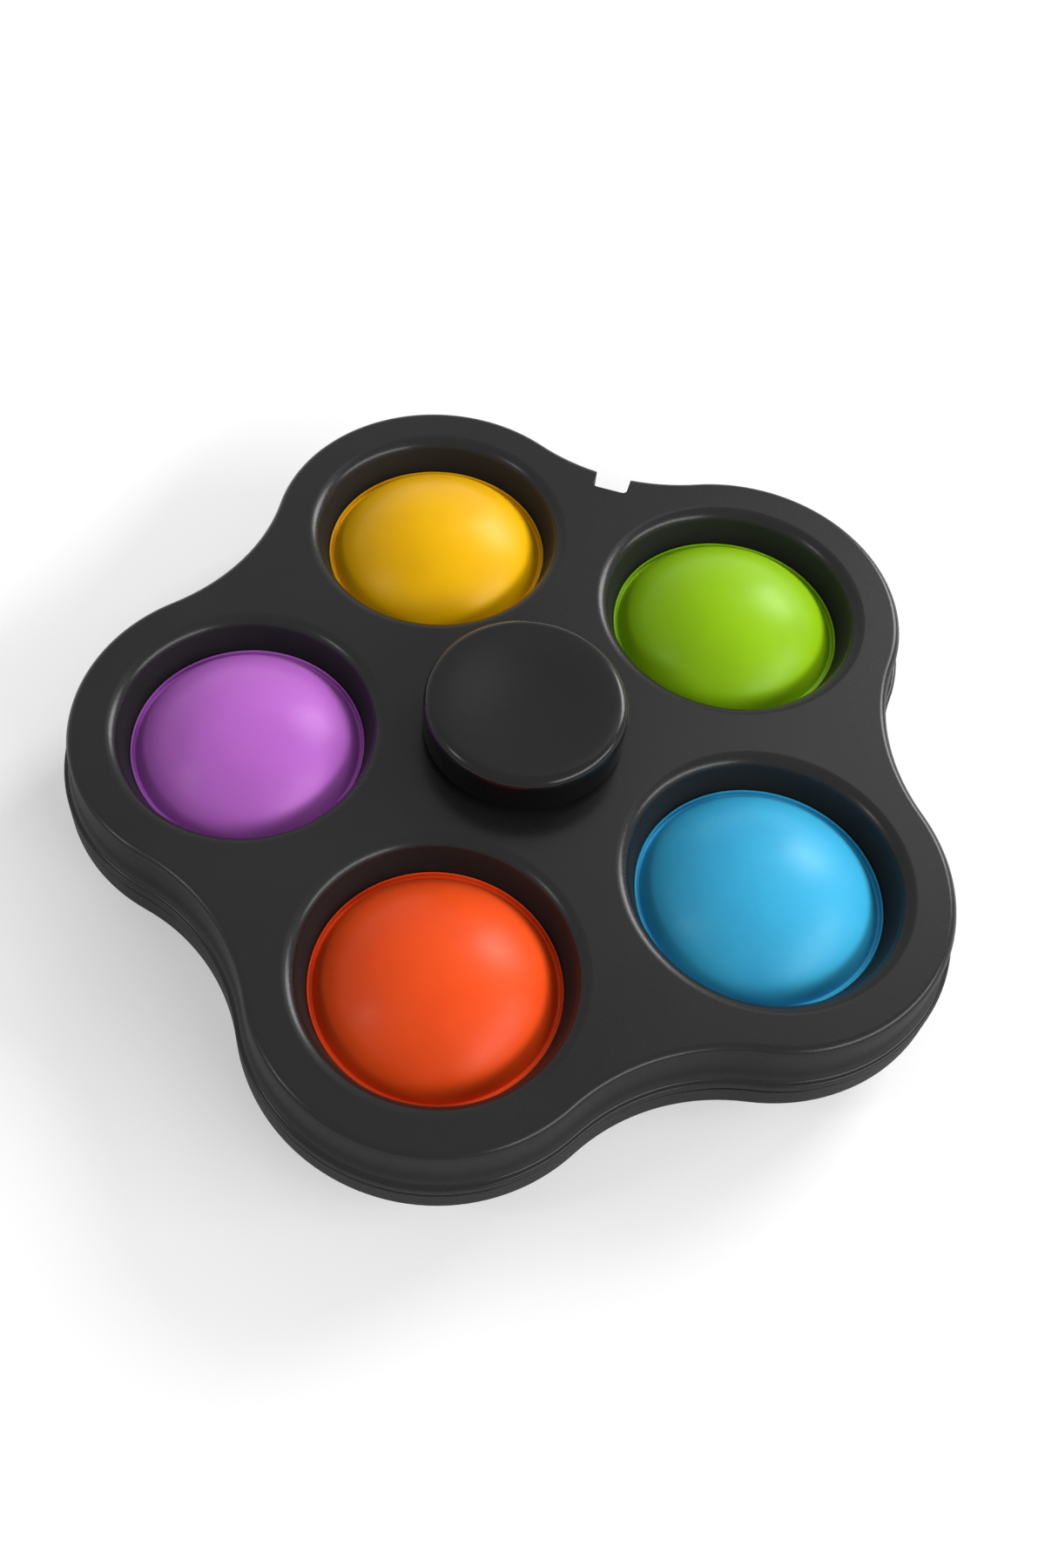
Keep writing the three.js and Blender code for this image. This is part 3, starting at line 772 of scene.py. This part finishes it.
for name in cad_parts:
    if name.startswith("bearing_"):
        steel = pressedSteel if "shield" in name or "cage" in name else bearingSteel
        solid = bpy.data.objects[name]
        solid.data.materials.clear()
        solid.data.materials.append(steel)

# Camera, from the fit of the photograph's outlines

eye = {
    "azimuth": 17.772,
    "elevation": 55.028,
    "distance": 168.794,
    "target": (-12.872, -2.461, 15.8),
    "roll": 1.350,
    "lens": 36.65,
    "shift": (0.0785, -0.0455),
    "clip": (0.005, 10),
}
bpy.ops.object.camera_add()
camera = bpy.context.object
a, e, r = (math.radians(eye[k]) for k in ("azimuth", "elevation", "roll"))
back = Vector((math.sin(a) * math.cos(e), -math.cos(a) * math.cos(e), math.sin(e)))
right = Vector((math.cos(a), math.sin(a), 0))
up = back.cross(right)
rightTurned = right * math.cos(r) + up * math.sin(r)
upTurned = up * math.cos(r) - right * math.sin(r)
place = (Vector(eye["target"]) + back * eye["distance"]) * mm
camera.matrix_world = Matrix((
    (rightTurned.x, upTurned.x, back.x, place.x),
    (rightTurned.y, upTurned.y, back.y, place.y),
    (rightTurned.z, upTurned.z, back.z, place.z),
    (0, 0, 0, 1),
))
camera.data.lens = eye["lens"]
camera.data.shift_x, camera.data.shift_y = eye["shift"]
camera.data.clip_start, camera.data.clip_end = eye["clip"]
bpy.context.scene.camera = camera

# Studio: white floor, large soft lamps and a weak even world

stage = {
    "size": 6,               # of the floor, in metres
    "drop": 0.02,            # keeps the floor clear of the lower cap's face
    "shadeFrom": 0.05,       # metres from the spin axis, where the floor's own glow begins to rise
    "shadeTo": 0.2,
    "glowNear": 0.38,
    "glowFar": 0.95,
    "worldLight": 0.35,
    "worldSeen": 1.0,
}


def seenWhite(tree):  # 1 for camera, glossy and transmission rays, and 0 for the light on dull surfaces
    ray = addNode(tree, "LightPath", {})
    seen = addNode(tree, "Math", {0: ray.outputs["Is Camera Ray"], 1: ray.outputs["Is Glossy Ray"]},
                   operation="MAXIMUM")
    seen = addNode(tree, "Math", {0: seen.outputs[0], 1: ray.outputs["Is Transmission Ray"]},
                   operation="MAXIMUM")
    return seen.outputs[0]


nothingSelected()
bpy.ops.mesh.primitive_plane_add(size=stage["size"], location=(0, 0, -stage["drop"] * mm))
floor = bpy.context.object
floor.name = "studio_floor"
floorPaint, tree, shader = newMaterial("white_floor_paint")
shader.inputs["Base Color"].default_value = linear("#d2d2d2")
shader.inputs["Roughness"].default_value = 0.9
shader.inputs["Specular IOR Level"].default_value = 0.1
shader.inputs["Emission Color"].default_value = (1, 1, 1, 1)
place = addNode(tree, "TexCoord", {}).outputs["Object"]
away = addNode(tree, "VectorMath", {0: place}, operation="LENGTH")
far = addNode(tree, "MapRange", {"Value": away.outputs["Value"],
                                 "From Min": stage["shadeFrom"], "From Max": stage["shadeTo"],
                                 "To Min": stage["glowNear"], "To Max": stage["glowFar"]},
              interpolation_type="SMOOTHSTEP")
glow = addNode(tree, "Math", {0: seenWhite(tree), 1: far.outputs["Result"]}, operation="MULTIPLY")
tree.links.new(glow.outputs[0], shader.inputs["Emission Strength"])
floor.data.materials.append(floorPaint)

lamps = {  # where each lamp stands in metres, its size in metres and its power in watts
    "key": ((0.42, 0.74, 0.54), 0.38, 0.38, 6.0),
    "strip": ((0.78, -0.16, 0.52), 1.0, 0.2, 6.3),
    "sheen": ((0.13, 0.58, 0.80), 0.3, 0.3, 0.33),
    "fill": ((-0.65, -0.43, 0.62), 0.16, 0.16, 1.0),
}
for name, (spot, width, height, power) in lamps.items():
    nothingSelected()
    bpy.ops.object.light_add(type="AREA", location=spot)
    lamp = bpy.context.object
    lamp.name = name
    lamp.rotation_euler = (-Vector(spot)).to_track_quat("-Z", "Y").to_euler()
    lamp.data.shape = "RECTANGLE"
    lamp.data.size = width
    lamp.data.size_y = height
    lamp.data.energy = power

world = bpy.data.worlds.new("studio")
bpy.context.scene.world = world
world.use_nodes = True
tree = world.node_tree
backdrop = tree.nodes["Background"]
level = addNode(tree, "MapRange", {"Value": seenWhite(tree), "To Min": stage["worldLight"],
                                   "To Max": stage["worldSeen"]})
tree.links.new(level.outputs["Result"], backdrop.inputs["Strength"])
backdrop.inputs["Color"].default_value = (1, 1, 1, 1)
bpy.context.scene.view_settings.view_transform = "Standard"
